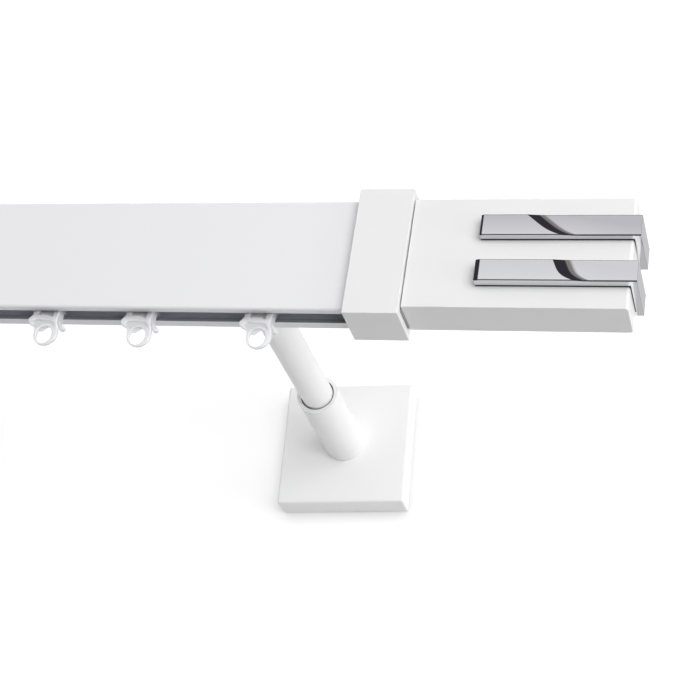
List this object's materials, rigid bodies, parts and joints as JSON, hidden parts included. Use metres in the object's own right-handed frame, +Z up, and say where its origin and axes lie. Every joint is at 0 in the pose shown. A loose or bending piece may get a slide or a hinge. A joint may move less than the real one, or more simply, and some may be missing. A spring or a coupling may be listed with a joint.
{
  "type": "curtain track",
  "caption": "Flat white curtain track on two telescopic wall arms, with sliding gliders below and square finials trimmed with chrome strips.",
  "frame": {"origin": "on the wall, at the middle of the right-hand bracket's screw circle", "axes": "+X along the rail to the viewer's right, +Y into the wall, +Z up"},
  "size_m": [0.791, 0.1946, 0.0703],
  "materials": {
    "base_metal": "grey zinc casting, satin",
    "white_plate": "white paint, satin",
    "screw_steel": "zinc-plated",
    "white_arm": "white paint, satin",
    "bush_plastic": "black moulded plastic",
    "white_tube": "white paint, satin",
    "clamp_metal": "white paint, satin",
    "white_rail": "white powder coat, semi-gloss",
    "white_collar": "white paint, satin",
    "plug_plastic": "grey moulded plastic",
    "white_finial": "white paint, satin",
    "chrome_strip": "polished chrome plate",
    "glider_plastic": "milky translucent moulded plastic"
  },
  "bodies": {
    "wall_side": {"arm_sleeve_left": "white_arm", "arm_sleeve_right": "white_arm", "cover_screw_left": "screw_steel", "cover_screw_right": "screw_steel", "guide_bush_left": "bush_plastic", "guide_bush_right": "bush_plastic", "sleeve_screw_left": "screw_steel", "sleeve_screw_right": "screw_steel", "wall_base_left": "base_metal", "wall_base_right": "base_metal", "wall_cover_left": "white_plate", "wall_cover_right": "white_plate"},
    "arms": {"arm_tube_left": "white_tube", "arm_tube_right": "white_tube", "clamp_head_left": "clamp_metal", "clamp_head_right": "clamp_metal", "clamp_screws_left": "screw_steel", "clamp_screws_right": "screw_steel", "tube_pin_left": "screw_steel", "tube_pin_right": "screw_steel"},
    "track": {"collar_left": "white_collar", "collar_right": "white_collar", "collar_screw_left": "screw_steel", "collar_screw_right": "screw_steel", "finial_block_left": "white_finial", "finial_block_right": "white_finial", "finial_plug_left": "plug_plastic", "finial_plug_right": "plug_plastic", "finial_screw_left": "screw_steel", "finial_screw_right": "screw_steel", "lower_strip_left": "chrome_strip", "lower_strip_right": "chrome_strip", "rail": "white_rail", "upper_strip_left": "chrome_strip", "upper_strip_right": "chrome_strip"},
    "glider_01": {"glider_01": "glider_plastic"},
    "glider_02": {"glider_02": "glider_plastic"},
    "glider_03": {"glider_03": "glider_plastic"},
    "glider_04": {"glider_04": "glider_plastic"},
    "glider_05": {"glider_05": "glider_plastic"},
    "glider_06": {"glider_06": "glider_plastic"},
    "glider_07": {"glider_07": "glider_plastic"},
    "glider_08": {"glider_08": "glider_plastic"},
    "glider_09": {"glider_09": "glider_plastic"},
    "glider_10": {"glider_10": "glider_plastic"}
  },
  "joints": [
    {"name": "projection_slide", "type": "slide", "parent": "wall_side", "child": "arms", "axis": [0, -1, 0], "range_m": [-0.031, 0.01]},
    {"name": "rail_sideways", "type": "slide", "parent": "arms", "child": "track", "axis": [1, 0, 0], "range_m": [-0.02, 0.02]},
    {"name": "glider_01_slide", "type": "slide", "parent": "track", "child": "glider_01", "axis": [1, 0, 0], "range_m": [-0.0328, 0.0278]},
    {"name": "glider_02_slide", "type": "slide", "parent": "track", "child": "glider_02", "axis": [1, 0, 0], "range_m": [-0.0234, 0.0328]},
    {"name": "glider_03_slide", "type": "slide", "parent": "track", "child": "glider_03", "axis": [1, 0, 0], "range_m": [-0.0256, 0.0234]},
    {"name": "glider_04_slide", "type": "slide", "parent": "track", "child": "glider_04", "axis": [1, 0, 0], "range_m": [-0.027, 0.0256]},
    {"name": "glider_05_slide", "type": "slide", "parent": "track", "child": "glider_05", "axis": [1, 0, 0], "range_m": [-0.144, 0.027]},
    {"name": "glider_06_slide", "type": "slide", "parent": "track", "child": "glider_06", "axis": [1, 0, 0], "range_m": [-0.027, 0.144]},
    {"name": "glider_07_slide", "type": "slide", "parent": "track", "child": "glider_07", "axis": [1, 0, 0], "range_m": [-0.0256, 0.027]},
    {"name": "glider_08_slide", "type": "slide", "parent": "track", "child": "glider_08", "axis": [1, 0, 0], "range_m": [-0.0234, 0.0256]},
    {"name": "glider_09_slide", "type": "slide", "parent": "track", "child": "glider_09", "axis": [1, 0, 0], "range_m": [-0.0328, 0.0234]},
    {"name": "glider_10_slide", "type": "slide", "parent": "track", "child": "glider_10", "axis": [1, 0, 0], "range_m": [-0.0246, 0.0328]}
  ]
}
